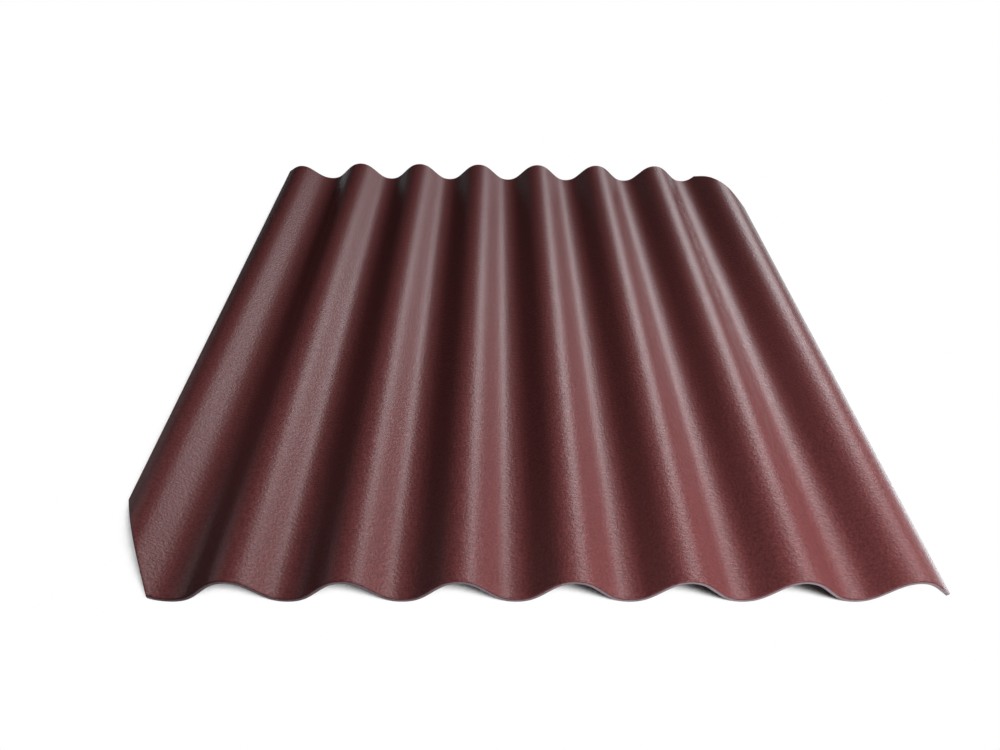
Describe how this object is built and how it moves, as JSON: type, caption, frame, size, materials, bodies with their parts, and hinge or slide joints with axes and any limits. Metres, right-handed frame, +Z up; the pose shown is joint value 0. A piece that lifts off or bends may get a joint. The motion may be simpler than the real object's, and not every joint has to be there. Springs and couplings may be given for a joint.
{
  "type": "corrugated fibre cement roofing sheet",
  "caption": "Painted corrugated fibre cement roofing sheet with one lowered edge wave for the side lap and two diagonally opposite mitred corners.",
  "frame": {"origin": "middle of the sheet in plan, level with the flat undersides of its valleys, which stand on the floor or the batten", "axes": "+Y along the waves towards the far end, +Z up, +X across the waves from the lowered left edge to the right edge"},
  "size_m": [1.13, 1.25, 0.046],
  "materials": {
    "painted_fibre_cement": "satin"
  },
  "bodies": {
    "root": {"corrugated_sheet": "painted_fibre_cement"}
  },
  "joints": []
}
